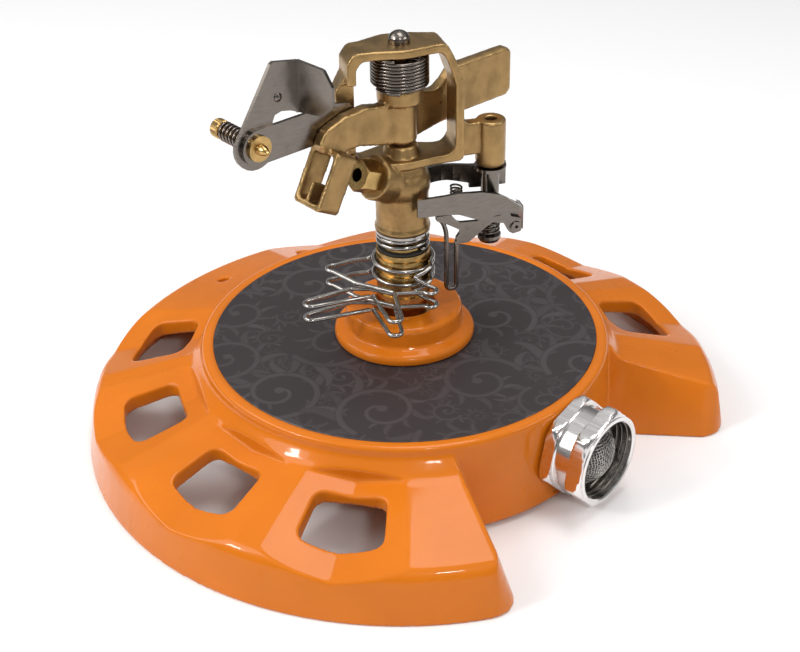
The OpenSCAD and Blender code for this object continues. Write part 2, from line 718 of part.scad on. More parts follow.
module arm_spring() {
    r = 9.4;
    low = arm_seat_top + 0.3 + arm_spring_wire / 2;
    top = bridge_z - strap - 0.15 - arm_spring_wire / 2;
    pitch = (top - low) / arm_spring_turns;
    turns = helix(r, low, pitch, 200, 200 + 360 * arm_spring_turns, 20);
    last = turns[len(turns) - 1];
    color(steel)
    on_head()
        wire(concat([[-3, -10.6, low - 0.1], [-6.4, -8.6, low - 0.05]], turns,
            [last + [1.6, -3.4, 0.1], [last[0] + 4.5, last[1] - 5.5, top + 0.1]]), arm_spring_wire / 2, sides = 6);
}

module deflector_bracket() {
    color(steel)
    on_arm() difference() {
        upright(bracket_y0, bracket_y1)
            polygon(concat([for (a = [90:15:270]) [-screw_x + bracket_half * cos(a),
                screw_z + bracket_half * sin(a)]],
                [[-32, screw_z - bracket_half], [-19, screw_z - 3.6], [-17.4, screw_z + 1.4],
                    [-20, screw_z + bracket_half - 1.5], [-26, screw_z + bracket_half]]));
        translate([-screw_x, 20, screw_z]) rotate([90, 0, 0]) cylinder(r = screw_r + 0.9, h = 40);
        for (x = rivet_xs)
            translate([x, 20, rivet_at_z]) rotate([90, 0, 0]) cylinder(r = rivet_r + fit, h = 30, $fn = 32);
    }
}

module bracket_rivets() {
    color(steel)
    on_arm() for (x = rivet_xs) translate([x, 0, rivet_at_z]) rotate([-90, 0, 0]) {
        translate([0, 0, -rivet_deep]) cylinder(r = rivet_r, h = rivet_deep + bracket_y1 + 0.5, $fn = 32);
        translate([0, 0, bracket_y1 + seat]) cylinder(r1 = 2.2, r2 = 1.4, h = 0.9, $fn = 32);
    }
}

module screw_grommet() {
    color(bright_brass)
    on_arm() translate([-screw_x, 0, screw_z]) rotate([-90, 0, 0]) {
        ring(4.3, screw_r + fit, bracket_y0 - seat - 1.1, bracket_y0 - seat);
        ring(screw_r + 0.85, screw_r + fit, bracket_y0 - seat - 0.5, flap_y1 + 0.7);
    }
}

module deflector_flap() {
    lobe = 8;
    fold_turn = -70;
    color(steel)
    on_arm() difference() {
        union() {
            upright(flap_y0, flap_y1)
                polygon(concat([for (a = [330:-15:165]) [-screw_x + lobe * cos(a), screw_z + lobe * sin(a)]],
                    [[-49.6, 152.4], [-48.4, 153], [fold_x, 151.2], [fold_x, flap_low_z],
                        [-43, flap_low_z + 1.6], [-46.6, flap_low_z + 2.4], [-49.2, flap_low_z + 1.8],
                        [-50.2, flap_low_z - 0.2], [-49.8, screw_z + 3]]));
            translate([fold_x, flap_y1 - sheet, 0]) rotate([0, 0, fold_turn])
                translate([-0.2, 0, 0]) upright(0, sheet)
                    polygon(rounded([[0, flap_low_z, 0], [wing_len - 4, flap_low_z, 1],
                        [wing_len, flap_low_z + 3.6, 1], [wing_len, 144, 1.5],
                        [wing_len - 3, 149.4, 1.5], [0, 151.2, 0]], 1));
            translate([fold_x, flap_y1 - sheet / 2, flap_low_z])
                cylinder(r = sheet / 2, h = 151.2 - flap_low_z, $fn = 32);
        }
        translate([-screw_x, 20, screw_z]) rotate([90, 0, 0]) cylinder(r = screw_r + 0.95, h = 40);
    }
}

module flap_washer() {
    color(steel)
    on_arm() translate([-screw_x, 0, screw_z]) rotate([-90, 0, 0])
        ring(3.6, screw_r + fit, flap_y1 + 0.75, flap_y1 + 1.5);
}

module diffuser_spring() {
    start = flap_y1 + 2.1;
    color(steel)
    on_arm() translate([-screw_x, 0, screw_z]) rotate([-90, 0, 0])
        wire(helix(2.9, start, 1.9, 0, 2520, 12), 0.45, sides = 6);
}

module diffuser_screw() {
    head_y = flap_y1 + 2.1 + 13.3 + 0.6;
    color(bright_brass)
    on_arm() translate([-screw_x, 0, screw_z]) rotate([-90, 0, 0]) {
        translate([0, 0, -0.4]) cylinder(r = screw_r, h = head_y + 0.6);
        translate([0, 0, -3.4]) cylinder(r1 = 0.3, r2 = screw_r, h = 3);
        translate([0, 0, head_y]) cylinder(r = 3.3, h = 3.8);
        translate([0, 0, head_y + 3.8]) cylinder(r1 = 3.3, r2 = 2.6, h = 0.6);
    }
}

module trip_shaft() {
    color(steel) on_lug() {
        translate([0, 0, spring_z - 1.9]) cylinder(r = trip_r, h = lug_z1 - 4 - spring_z + 1.9);
        translate([0, 0, spring_z - 3.1]) cylinder(r1 = 3.6, r2 = 4.2, h = 1.2);
    }
}

module trip_spacer() {
    color(steel) on_lug() ring(4.2, trip_r + fit, spring_z - 1.8, spring_z - 0.55);
}

module lever_sleeve() {
    color(steel) on_lug() {
        ring(5.7, trip_r + fit, lever_z0 - 1.2, lever_z0);
        ring(3.3, trip_r + fit, lever_z0 - reverse_h - 1, lever_z0 - 1.2 + eps);
    }
}

// A strip of sheet steel that stands on edge and follows points in plan.
module strip(points, thick, z0, z1) {
    n = len(points);
    sides = [for (i = [0:n - 1])
        let (d = unit(points[min(i + 1, n - 1)] - points[max(i - 1, 0)])) [-d[1], d[0]] * thick / 2];
    translate([0, 0, z0]) linear_extrude(z1 - z0)
        polygon(concat([for (i = [0:n - 1]) points[i] + sides[i]],
            [for (i = [n - 1:-1:0]) points[i] - sides[i]]));
}

module reversing_lever() {
    top = lever_z0 - 1.3;
    reach = [[10.2, 4.6], [13, 5.6], [16, 6.2], [20.5, 6.1], [25, 5.2], [28.6, 4.4], [32.3, 4.15], [39.4, 4.15]];
    color(steel) on_head() difference() {
        strip(reach, sheet, top - reverse_h, top + 1);
        upright(-20, 20)
            polygon([[0, top - 4.4], [18, top - 5.2], [26, top - 7], [26, top - 20], [0, top - 20]]);
        upright(-20, 20) polygon([[14, top + 2], [14, top + 1], [26, top], [50, top], [50, top + 2]]);
    }
}

module trip_lever() {
    plate_z = frame_z + sheet + seat;
    ear_y = frame_wall_y + sheet / 2 + seat;
    band = [[2, -11.9], [7, -12], [12, -11.9], [17, -11.3], [22, -10.2], [27, -8.9], [32, -7.9],
        [37, -7.2], [40.6, -6.3], [42.8, -4.6], [lever_end_x, -1.8], [lever_end_x, 2]];
    color(steel) on_head() difference() {
        union() {
            intersection() {
                strip(band, sheet, rivet_z - 3, 100);
                upright(-20, 20)
                    polygon(rounded([[0, 88.8, 0], [11, 88.4, 6], [17, 87.4, 6], [25, plate_z, 6],
                        [43, plate_z, 0.4], [43, rivet_z - 2.2, 0.4], [46, rivet_z - 2.6, 0],
                        [46, plate_z - 2, 0], [43.2, plate_z - 0.4, 1], [41.4, plate_z + 1.4, 2],
                        [36.6, 88.6, 5], [33, 91, 6], [26, 93.6, 8], [17, 88.8 + band_h, 8],
                        [0, 88.8 + band_h, 0]], 1));
            }
            translate([0, 0, plate_z]) linear_extrude(sheet)
                polygon([[25, -9.4], [27, -9], [37, -7.3], [40.6, -6], [41.6, -4], [40.4, -1], [38.4, 2.4],
                    [36, 4.2], [32, 5], [27.6, 4], [18, 4], [16.6, 1], [18, -2]]);
            translate([0, ear_y, 0]) upright(0, sheet)
                polygon(rounded([[38.2, plate_z + eps, 0], [38.2, rivet_z - 1, 2], [rivet_x, rivet_z - 2.6, 2],
                    [41.8, rivet_z - 1, 2], [41.4, plate_z + eps, 0]], 1));
            translate([20.2, 1.2, plate_z]) cylinder(r = 1.2, h = 7, $fn = 32);
            translate([lug_x, 0, plate_z]) cylinder(r = 3.2, h = lever_z0 - reverse_h - 1.1 - plate_z);
        }
        translate([lug_x, 0, 0]) cylinder(r = trip_r + fit, h = 200);
        translate([rivet_x, ear_y - 1, rivet_z]) rotate([-90, 0, 0]) cylinder(r = 1.15 + fit, h = sheet + 2, $fn = 32);
    }
}

module trip_frame() {
    color(steel) on_head() difference() {
        union() {
            translate([0, 0, frame_z]) linear_extrude(sheet)
                polygon([[26, -8.9], [32, -8.3], [37.6, frame_wall_y - 0.6], [37.6, 1], [36, 3.6], [32, 4.4],
                    [28, 4], [25, -2]]);
            upright(-8.9, -8.9 + sheet)
                polygon(rounded([[9.8, 86, 0], [9.8, 84.4, 0.6], [14, 82.4, 2], [18.9, 79.4, 1],
                    [17, 76.6, 0.8], [17.4, 74.4, 0.8], [21.4, 74.2, 2], [24.6, 76.6, 6],
                    [29, 80, 6], [32.4, frame_z - 0.2, 1], [32.4, frame_z + sheet, 0], [27, frame_z + sheet, 1],
                    [24.6, 82.2, 3], [18, 82.6, 3], [15, 86, 1]], 1));
            intersection() {
                strip([[31.2, -8.2], [33, -8.1], [36.6, frame_wall_y - 0.4], [38, frame_wall_y],
                    [frame_end_x, frame_wall_y]], sheet, rivet_z - 4, frame_z + sheet);
                upright(-12, 0)
                    polygon(rounded([[31, frame_z + sheet, 0], [31, frame_z - 1, 0], [35, 79.4, 3],
                        [37.4, rivet_z - 1.6, 2], [39, rivet_z - 2.8, 1], [frame_end_x, rivet_z - 2.2, 1],
                        [frame_end_x, rivet_z + 3, 1], [38.2, rivet_z + 4.2, 1], [37.6, frame_z + sheet, 0]], 1));
            }
        }
        translate([lug_x, 0, 0]) cylinder(r = trip_r + fit, h = 200);
        translate([rivet_x, frame_wall_y - 2, rivet_z]) rotate([-90, 0, 0]) cylinder(r = 1.15 + fit, h = 3, $fn = 32);
    }
}

module trip_rivet() {
    front = frame_wall_y - sheet / 2 - seat;
    back = frame_wall_y + 1.5 * sheet + 2 * seat;
    color(steel) on_head() translate([rivet_x, 0, rivet_z]) rotate([-90, 0, 0]) difference() {
        union() {
            translate([0, 0, front - 0.4]) cylinder(r = 1.15, h = back - front + 0.8, $fn = 32);
            translate([0, 0, front - 0.5]) cylinder(r = 1.9, h = 0.5, $fn = 32);
            translate([0, 0, back]) cylinder(r = 1.9, h = 0.5, $fn = 32);
        }
        translate([0, 0, front - 1]) cylinder(r = 0.65, h = back - front + 2, $fn = 32);
    }
}

module toggle_spring() {
    thick = 0.5;
    turns = 4.75;
    pitch = (frame_z - spring_z - thick - fit) / turns;
    color(steel) on_lug() wire(helix(3.4, spring_z, pitch, 90, 90 + 360 * turns, 14), thick, sides = 6);
}

module coil_spring() {
    color(steel) on_head() translate([20.2, 1.2, 0])
        wire(helix(1.95, frame_z + 2 * sheet + 2 * seat + 0.45, 1.25, 0, 1980, 12), 0.4, sides = 6);
}

module trip_wire() {
    r = trip_wire_d / 2;
    half = 1.85;
    x = 15.9;
    y = -8.9 + sheet + seat + r;
    low = trip_wire_z + half + r;
    legs = [[11.9, y, frame_z + 1.8], [12.9, y, 82], [x - half, y, 77.5],
        for (a = [180:30:360]) [x + half * cos(a), y, low + half * sin(a)],
        [x + half, y, 73.4], [x + half + 1, y, 75.6], [22.4, y, 78.4]];
    color(steel) on_head() wire(legs, r, up = [0, 1, 0]);
}

base_casting();
label_disc();
hub_boss();
inlet_manifold();
inlet_tailpiece();
coupling_nut();
hose_washer();
inlet_screen();
bearing_sleeve();
sleeve_seal();
friction_collar_upper();
friction_collar_lower();
bearing_nipple();
bearing_spring();
thrust_washer();
sprinkler_body();
nozzle();
pivot_pin();
impact_arm();
arm_bush();
arm_washer();
arm_spring();
deflector_bracket();
bracket_rivets();
screw_grommet();
deflector_flap();
flap_washer();
diffuser_spring();
diffuser_screw();
trip_shaft();
trip_spacer();
lever_sleeve();
reversing_lever();
trip_lever();
trip_frame();
trip_rivet();
toggle_spring();
coil_spring();
trip_wire();
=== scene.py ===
"""Finishes, fine detail and stage for an impulse sprinkler on a round enamelled base."""

import math
import random

import bmesh
import bpy
import numpy as np
from bpy.props import FloatProperty, FloatVectorProperty, IntProperty, PointerProperty
from mathutils import Matrix, Vector


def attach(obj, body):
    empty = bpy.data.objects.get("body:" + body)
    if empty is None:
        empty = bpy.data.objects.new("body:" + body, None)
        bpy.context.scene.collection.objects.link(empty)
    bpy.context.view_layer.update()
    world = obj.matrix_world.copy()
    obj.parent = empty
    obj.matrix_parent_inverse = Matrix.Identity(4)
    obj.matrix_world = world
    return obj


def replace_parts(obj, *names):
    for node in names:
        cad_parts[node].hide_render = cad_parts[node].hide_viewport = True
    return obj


bl_info = {
    "name": "Impulse sprinkler",
    "version": (1, 0, 0),
    "blender": (4, 5, 0),
    "location": "3D View > Sidebar > Sprinkler",
    "description": "Builds the finishes and fine detail of an impulse sprinkler",
    "category": "Object",
}

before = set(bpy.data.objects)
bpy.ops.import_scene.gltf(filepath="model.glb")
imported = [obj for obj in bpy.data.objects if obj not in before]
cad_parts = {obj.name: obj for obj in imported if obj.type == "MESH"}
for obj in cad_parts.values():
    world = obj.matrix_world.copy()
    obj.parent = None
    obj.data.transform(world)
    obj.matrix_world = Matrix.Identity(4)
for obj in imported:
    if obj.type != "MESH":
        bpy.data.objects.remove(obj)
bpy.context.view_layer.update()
MM = 0.001
TURN = 360
Z_UP = Vector((0, 0, 1))

# Places shared with the CAD model, in millimetres and degrees
HEAD_AZ = 57
ARM_AZ = 82
LUG_X = 32.3
LABEL_TOP = 36.9
LABEL_R = 70
LABEL_THICK = 0.6
SLEEVE_R = 9.6
INLET_Z = 20.2
MOUTH_X = 91.4
NUT_X0 = 74.5
NUT_BORE_X = NUT_X0 + 1.8
NUT_FLAT = 16.1
NUT_TURN = 44
WAIST_X0, WAIST_X1 = NUT_X0 + 4.2, MOUTH_X - 6.4
THREAD_X = MOUTH_X - 4
HOSE_R = 14.1
TAIL_R = 8.98
SCREEN_X = NUT_BORE_X + 3.75
SCREW_X, SCREW_Z = 57.3, 127
SHEET = 1.4
FLAP_Y1 = 2.2 + 2 * SHEET + 0.1
FRAME_Z = 81.6
SPRING_Z = 72.5
COLLAR_WIRE = 1.6
COLLAR_R = SLEEVE_R + 0.2 + COLLAR_WIRE / 2
UPPER_COLLAR_Z, LOWER_COLLAR_Z = 68.4, 62.9
DIFFUSER_SPRING_Y = FLAP_Y1 + 2.1


# Properties

def colour(name, description, default):
    """A colour setting."""
    return FloatVectorProperty(name=name, description=description, default=default,
                               subtype="COLOR", size=3, min=0, max=1)


def length(name, description, default):
    """A length setting, in metres."""
    return FloatProperty(name=name, description=description, default=default,
                         subtype="DISTANCE", unit="LENGTH", min=0, precision=5)


def whole(name, description, default, low, high):
    """A whole number setting."""
    return IntProperty(name=name, description=description, default=default, min=low, max=high)


class SprinklerPaint(bpy.types.PropertyGroup):
    """Colours of the enamel and the label"""
    enamel: colour("Enamel", "Colour of the enamelled base and hub", (0.62, 0.16, 0.007))
    label: colour("Label", "Ground colour of the round label plate", (0.024, 0.017, 0.018))
    ornament: colour("Ornament", "Colour of the scrollwork printed on the label", (0.053, 0.043, 0.045))
    peel: length("Orange peel", "Grain of the sprayed enamel", 0.0016)


class SprinklerMetal(bpy.types.PropertyGroup):
    """Colours of the metals"""
    cast: colour("Cast brass", "Colour of the sand-cast brass", (0.29, 0.178, 0.071))
    turned: colour("Turned brass", "Colour of the machined brass", (0.52, 0.34, 0.13))
    bronze: colour("Bronze", "Colour of the arm's bush and washers", (0.42, 0.2, 0.1))
    steel: colour("Steel", "Colour of the stainless sheet and springs", (0.19, 0.166, 0.146))
    chrome: colour("Chrome", "Colour of the plated coupling", (0.82, 0.79, 0.78))
    wire: colour("Plated wire", "Colour of the nickel-plated collars", (0.4, 0.38, 0.36))
    grain: length("Casting grain", "Grain of the sand-cast skin", 0.0011)


class SprinklerCasting(bpy.types.PropertyGroup):
    """How fine and how soft the castings' skins are"""
    base_depth: whole("Base detail", "Halvings of the base's size down to its finest detail", 9, 6, 9)
    brass_depth: whole("Brass detail", "Halvings of a brass casting's size to its finest detail", 7, 5, 8)
    base_rounds: whole("Base rounding", "Rounds of smoothing of the base's edges", 24, 0, 40)
    brass_rounds: whole("Brass rounding", "Rounds of smoothing of the brass edges", 7, 0, 40)


class SprinklerStage(bpy.types.PropertyGroup):
    """Floor and light round the sprinkler"""
    floor: colour("Floor", "Colour of the floor", (0.9, 0.9, 0.9))
    key: FloatProperty(name="Key light", description="Power of the main light", default=6.5, min=0,
                       unit="POWER")
    sky: FloatProperty(name="Surround", description="Brightness of the surround", default=0.85, min=0)


# Finishes

def make_material(name, base, rough, metal=0.0, coat=0.0):
    """A node material with its shader; finishes add their own nodes to it."""
    mat = bpy.data.materials.new(name)
    mat.use_nodes = True
    shader = mat.node_tree.nodes["Principled BSDF"]
    shader.inputs["Base Color"].default_value = (*base, 1)
    shader.inputs["Roughness"].default_value = rough
    shader.inputs["Metallic"].default_value = metal
    shader.inputs["Coat Weight"].default_value = coat
    shader.inputs["Coat Roughness"].default_value = 0.06
    return mat, mat.node_tree, shader


def add(tree, kind, **values):
    """A node whose sockets and settings are given by name."""
    node = tree.nodes.new(kind)
    for key, value in values.items():
        if key in node.inputs:
            node.inputs[key].default_value = value
        else:
            setattr(node, key, value)
    return node


def noise(tree, scale, detail=4.0, stretch=None):
    """Noise over the object's own coordinates, optionally stretched along one axis."""
    coord = add(tree, "ShaderNodeTexCoord")
    node = add(tree, "ShaderNodeTexNoise", Scale=scale, Detail=detail)
    source = coord.outputs["Object"]
    if stretch:
        mapping = add(tree, "ShaderNodeMapping", Scale=stretch)
        tree.links.new(source, mapping.inputs["Vector"])
        source = mapping.outputs["Vector"]
    tree.links.new(source, node.inputs["Vector"])
    return node.outputs["Fac"]


def ramp(tree, source, stops):
    """Colours or greys along a value; stops are (position, colour)."""
    node = add(tree, "ShaderNodeValToRGB")
    elements = node.color_ramp.elements
    while len(elements) < len(stops):
        elements.new(0.5)
    for element, (place, value) in zip(elements, stops):
        element.position = place
        element.color = (*value, 1) if hasattr(value, "__len__") else (value, value, value, 1)
    tree.links.new(source, node.inputs["Fac"])
    return node.outputs["Color"]


def drive(tree, shader, socket, source, stops):
    """Lets a ramp over a value set one of the shader's sockets."""
    tree.links.new(ramp(tree, source, stops), shader.inputs[socket])


def mottle(rgb, low, high, spread=(0.3, 0.7)):
    """Stops of a colour that is a little darker and lighter in places."""
    return [(spread[0], shade(rgb, low)), (spread[1], shade(rgb, high))]


def bump(tree, shader, source, strength, distance, before=None):
    """Relief from a value, over an earlier relief's normal where one is given."""
    node = add(tree, "ShaderNodeBump", Strength=strength, Distance=distance)
    tree.links.new(source, node.inputs["Height"])
    if before is not None:
        tree.links.new(before, node.inputs["Normal"])
    tree.links.new(node.outputs["Normal"], shader.inputs["Normal"])
    return node.outputs["Normal"]


def shade(rgb, factor):
    """A colour made darker or lighter."""
    return tuple(min(1.0, c * factor) for c in rgb)


def enamel_finish(paint):
    """Sprayed enamel with a clear gloss over a softer body."""
    mat, tree, shader = make_material("orange_enamel", paint.enamel, 0.3, coat=0.7)
    shader.inputs["Specular IOR Level"].default_value = 0.08
    shader.inputs["Coat IOR"].default_value = 1.34
    drive(tree, shader, "Base Color", noise(tree, 38, 3), mottle(paint.enamel, 0.93, 1.05))
    drive(tree, shader, "Roughness", noise(tree, 120, 5), [(0.3, 0.26), (0.75, 0.38)])
    bump(tree, shader, noise(tree, 1 / paint.peel, 2), 0.03, 0.0004)
    return mat


def cast_finish(metal):
    """Sand-cast brass, darker in its hollows and worn bright along its edges."""
    mat, tree, shader = make_material("sand_cast_brass", metal.cast, 0.42, metal=0.92)
    patina = ramp(tree, noise(tree, 150, 6),
                  [(0.28, shade(metal.cast, 0.62)), (0.5, metal.cast), (0.78, shade(metal.cast, 1.3))])
    edge = add(tree, "ShaderNodeNewGeometry")
    worn = ramp(tree, edge.outputs["Pointiness"], [(0.47, 0.0), (0.56, 1.0)])
    mix = add(tree, "ShaderNodeMix", data_type="RGBA", blend_type="SCREEN")
    tree.links.new(worn, mix.inputs[0])
    tree.links.new(patina, mix.inputs[6])
    mix.inputs[7].default_value = (*shade(metal.cast, 0.62), 1)
    tree.links.new(mix.outputs[2], shader.inputs["Base Color"])
    drive(tree, shader, "Roughness", noise(tree, 420, 5), [(0.25, 0.26), (0.8, 0.46)])
    fine = bump(tree, shader, noise(tree, 1 / metal.grain, 6), 0.34, 0.0003)
    bump(tree, shader, noise(tree, 260, 3), 0.18, 0.0005, fine)
    return mat


def turned_finish(name, base, rough, pitch):
    """Machined metal with fine tool marks round the vertical axis."""
    mat, tree, shader = make_material(name, base, rough, metal=1.0)
    coord = add(tree, "ShaderNodeTexCoord")
    wave = add(tree, "ShaderNodeTexWave", wave_type="BANDS", bands_direction="Z", Scale=1 / pitch,
               Distortion=1.5)
    tree.links.new(coord.outputs["Object"], wave.inputs["Vector"])
    drive(tree, shader, "Base Color", noise(tree, 220, 5), mottle(base, 0.72, 1.12))
    bump(tree, shader, wave.outputs["Fac"], 0.12, 0.0002)
    return mat


def chrome_finish(metal):
    """Chrome over brass, with fine milling lines along the coupling's axis."""
    mat, tree, shader = make_material("polished_chrome", metal.chrome, 0.12, metal=1.0)
    lines = noise(tree, 900, 3, stretch=(0.06, 1, 1))
    drive(tree, shader, "Roughness", lines, [(0.35, 0.14), (0.7, 0.24)])
    drive(tree, shader, "Base Color", lines, mottle(metal.chrome, 0.9, 1, (0.3, 0.55)))
    bump(tree, shader, lines, 0.08, 0.0001)
    return mat


def wire_finish(metal):
    """Nickel-plated spring wire, polished but a little clouded."""
    mat, tree, shader = make_material("plated_wire", metal.wire, 0.16, metal=1.0)
    cloud = noise(tree, 260, 4)
    drive(tree, shader, "Base Color", cloud, mottle(metal.wire, 0.7, 1.2))
    drive(tree, shader, "Roughness", cloud, [(0.3, 0.1), (0.75, 0.24)])
    bump(tree, shader, noise(tree, 900, 3), 0.05, 0.0002)
    return mat


def steel_finish(metal):
    """Rolled stainless sheet with faint streaks."""
    mat, tree, shader = make_material("brushed_steel", metal.steel, 0.3, metal=1.0)
    streaks = noise(tree, 300, 5, stretch=(1, 1, 9))
    drive(tree, shader, "Base Color", streaks, mottle(metal.steel, 0.86, 1.12, (0.25, 0.75)))
    drive(tree, shader, "Roughness", noise(tree, 180, 4), [(0.3, 0.17), (0.75, 0.3)])
    bump(tree, shader, streaks, 0.03, 0.0002)
    return mat


def label_finish(paint):
    """Dark plate whose scrollwork is printed a little lighter and glossier."""
    mat, tree, shader = make_material("label_plate", paint.label, 0.5, coat=0.06)
    mark = add(tree, "ShaderNodeAttribute", attribute_name="print")
    printed = mark.outputs["Fac"]
    drive(tree, shader, "Base Color", printed, [(0, tuple(paint.label)), (1, tuple(paint.ornament))])
    drive(tree, shader, "Roughness", printed, [(0, 0.56), (1, 0.44)])
    bump(tree, shader, noise(tree, 1500, 2), 0.04, 0.0001)
    return mat


def rubber_finish():
    """Matt black rubber."""
    mat, tree, shader = make_material("black_rubber", (0.02, 0.02, 0.02), 0.6)
    drive(tree, shader, "Roughness", noise(tree, 300, 4), [(0.3, 0.5), (0.7, 0.7)])
    bump(tree, shader, noise(tree, 1200, 3), 0.1, 0.0002)
    return mat


FINISH_NAMES = ("orange_enamel", "label", "cast_brass", "brass", "copper", "chrome", "steel", "wire",
                "rubber")


def finishes():
    """All finishes by name, made once; most bear the name of the record's slot that they belong to."""
    made = bpy.data.materials
    scene = bpy.context.scene
    paint, metal = scene.sprinkler_paint, scene.sprinkler_metal
    if FINISH_NAMES[0] + "_skin" not in made:
        mats = (enamel_finish(paint), label_finish(paint), cast_finish(metal),
                turned_finish("turned_brass", tuple(metal.turned), 0.24, 0.0012),
                turned_finish("bronze_bush", tuple(metal.bronze), 0.26, 0.0016),
                chrome_finish(metal), steel_finish(metal), wire_finish(metal), rubber_finish())
        for name, mat in zip(FINISH_NAMES, mats):
            mat.name = name + "_skin"
    return {name: made[name + "_skin"] for name in FINISH_NAMES}


def dress(finish, *nodes):
    """Gives CAD nodes a finish."""
    for node in nodes:
        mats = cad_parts[node].data.materials
        mats.clear()
        mats.append(finishes()[finish])


# Shapes

def put(name, mesh, body, slot, smooth=True, crisp=0, finish=None):
    """Makes a piece of a mesh and lets it ride on a body; its finish is its slot's unless one is named."""
    obj = bpy.data.objects.new(name, mesh)
    bpy.context.scene.collection.objects.link(obj)
    mesh.materials.clear()
    mesh.materials.append(finishes()[finish or slot])
    for face in mesh.polygons:
        face.use_smooth = smooth
    if smooth and crisp:
        mesh.set_sharp_from_angle(angle=math.radians(crisp))
    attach(obj, body)
    return obj


def baked(obj):
    """The object's mesh with its modifiers applied."""
    bpy.context.view_layer.update()
    graph = bpy.context.evaluated_depsgraph_get()
    return bpy.data.meshes.new_from_object(obj.evaluated_get(graph))


def soft_casting(name, node, body, slot, depth, rounds):
    """A copy of a cast node whose edges and inside corners are rounded like a real casting's."""
    source = bpy.data.objects.new(name + "_raw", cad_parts[node].data.copy())
    bpy.context.scene.collection.objects.link(source)
    remesh = source.modifiers.new("skin", "REMESH")
    remesh.mode = "SHARP"
    remesh.octree_depth = depth
    remesh.scale = 0.99
    remesh.use_remove_disconnected = False
    if rounds:
        smooth = source.modifiers.new("rounds", "SMOOTH")
        smooth.factor = 0.5
        smooth.iterations = rounds
    mesh = baked(source)
    bpy.data.objects.remove(source)
    mesh.name = name
    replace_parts(put(name, mesh, body, slot), node)


def made_mesh(bm, name, place=None):
    """Ends a bmesh: it becomes a mesh, set in its place."""
    mesh = bpy.data.meshes.new(name)
    bm.to_mesh(mesh)
    bm.free()
    if place is not None:
        mesh.transform(place)
    return mesh


def outward(bm):
    """Turns all faces of a bmesh outward."""
    bmesh.ops.recalc_face_normals(bm, faces=bm.faces)


def band(bm, low, high):
    """Faces between two loops that have as many points."""
    for j in range(len(low)):
        k = (j + 1) % len(low)
        bm.faces.new((low[j], low[k], high[k], high[j]))


def radial_loop(bm, radii, z):
    """A loop of points evenly round Z at the given radii, in millimetres."""
    loop = []
    for k, r in enumerate(radii):
        a = 2 * math.pi * k / len(radii)
        loop.append(bm.verts.new((r * math.cos(a) * MM, r * math.sin(a) * MM, z * MM)))
    return loop


def turned(angle):
    """A turn about the vertical axis, in degrees."""
    return Matrix.Rotation(math.radians(angle), 4, "Z")


def smooth_path(points, step):
    """A Catmull-Rom curve through the points, as evenly spaced as the step allows."""
    pts = [Vector(p) for p in points]
    made = []
    for i in range(len(pts) - 1):
        p0, p1, p2, p3 = pts[max(i - 1, 0)], pts[i], pts[i + 1], pts[min(i + 2, len(pts) - 1)]
        gap = (p2 - p1).length
        count = max(1, round(gap / step))
        t1 = (p2 - p0) * 0.5 * min(1, gap * 2 / max((p2 - p0).length, 1e-6))
        t2 = (p3 - p1) * 0.5 * min(1, gap * 2 / max((p3 - p1).length, 1e-6))
        for k in range(count):
            t = k / count
            a, b = 2 * t ** 3 - 3 * t ** 2 + 1, t ** 3 - 2 * t ** 2 + t
            made.append(p1 * a + t1 * b + p2 * (1 - a) + t2 * (t ** 3 - t ** 2))
    made.append(pts[-1])
    return made


def bent(points, radius=2.2, steps=6):
    """A path with its corners bent round, as a wire is."""
    pts = [Vector(p) for p in points]
    made = [pts[0]]
    for a, b, c in zip(pts, pts[1:], pts[2:]):
        u, v = a - b, c - b
        turn = math.pi - u.angle(v)
        if turn < 0.25:
            made.append(b)
            continue
        back = min(radius * math.tan(turn / 2), 0.45 * u.length, 0.45 * v.length)
        start, end = b + u.normalized() * back, b + v.normalized() * back
        for k in range(steps + 1):
            t = k / steps
            made.append(start.lerp(b, t).lerp(b.lerp(end, t), t))
    made.append(pts[-1])
    return made


def tube_mesh(name, points, radius, sides=12, place=None):
    """A round wire along points in millimetres, with ends that narrow over half their radius."""
    pts = [Vector(p) for p in points]
    first, last = (pts[0] - pts[1]).normalized(), (pts[-1] - pts[-2]).normalized()
    tip_scale = 0.45
    rings = [(pts[0] + first * radius / 2, tip_scale)]
    rings += [(p, 1.0) for p in pts]
    rings += [(pts[-1] + last * radius / 2, tip_scale)]
    centres = [r[0] for r in rings]
    bm = bmesh.new()
    normal = None
    loops = []
    for i, (centre, scale) in enumerate(rings):
        tangent = (centres[min(i + 1, len(rings) - 1)] - centres[max(i - 1, 0)]).normalized()
        if normal is None:
            normal = tangent.orthogonal().normalized()
        normal = (normal - tangent * normal.dot(tangent)).normalized()
        side = tangent.cross(normal)
        loop = []
        for j in range(sides):
            a = 2 * math.pi * j / sides
            spoke = (normal * math.cos(a) + side * math.sin(a)) * radius * scale
            loop.append(bm.verts.new((centre + spoke) * MM))
        loops.append(loop)
    for low, high in zip(loops, loops[1:]):
        band(bm, low, high)
    bm.faces.new(loops[0][::-1])
    bm.faces.new(loops[-1])
    outward(bm)
    return made_mesh(bm, name, place)


def helix(radius, z0, pitch, a0, a1, per_turn=36):
    """Points round Z from one angle to another, rising by the pitch in each turn."""
    count = math.ceil(abs(a1 - a0) / TURN * per_turn)
    made = []
    for i in range(count + 1):
        a = a0 + (a1 - a0) * i / count
        made.append((radius * math.cos(math.radians(a)), radius * math.sin(math.radians(a)),
                     z0 + pitch * (a - a0) / TURN))
    return made


def hairpin(tip, along, half, hand=1, steps=8):
    """Points of a round bend that ends a hairpin, from one strand to the other."""
    d = Vector(along).normalized()
    side = Z_UP.cross(d).normalized() * hand
    tip = Vector(tip)
    made = []
    for i in range(steps + 1):
        a = math.radians(-90 + 180 * i / steps)
        made.append(tip - d * half + (d * math.cos(a) + side * math.sin(a)) * half)
    return made


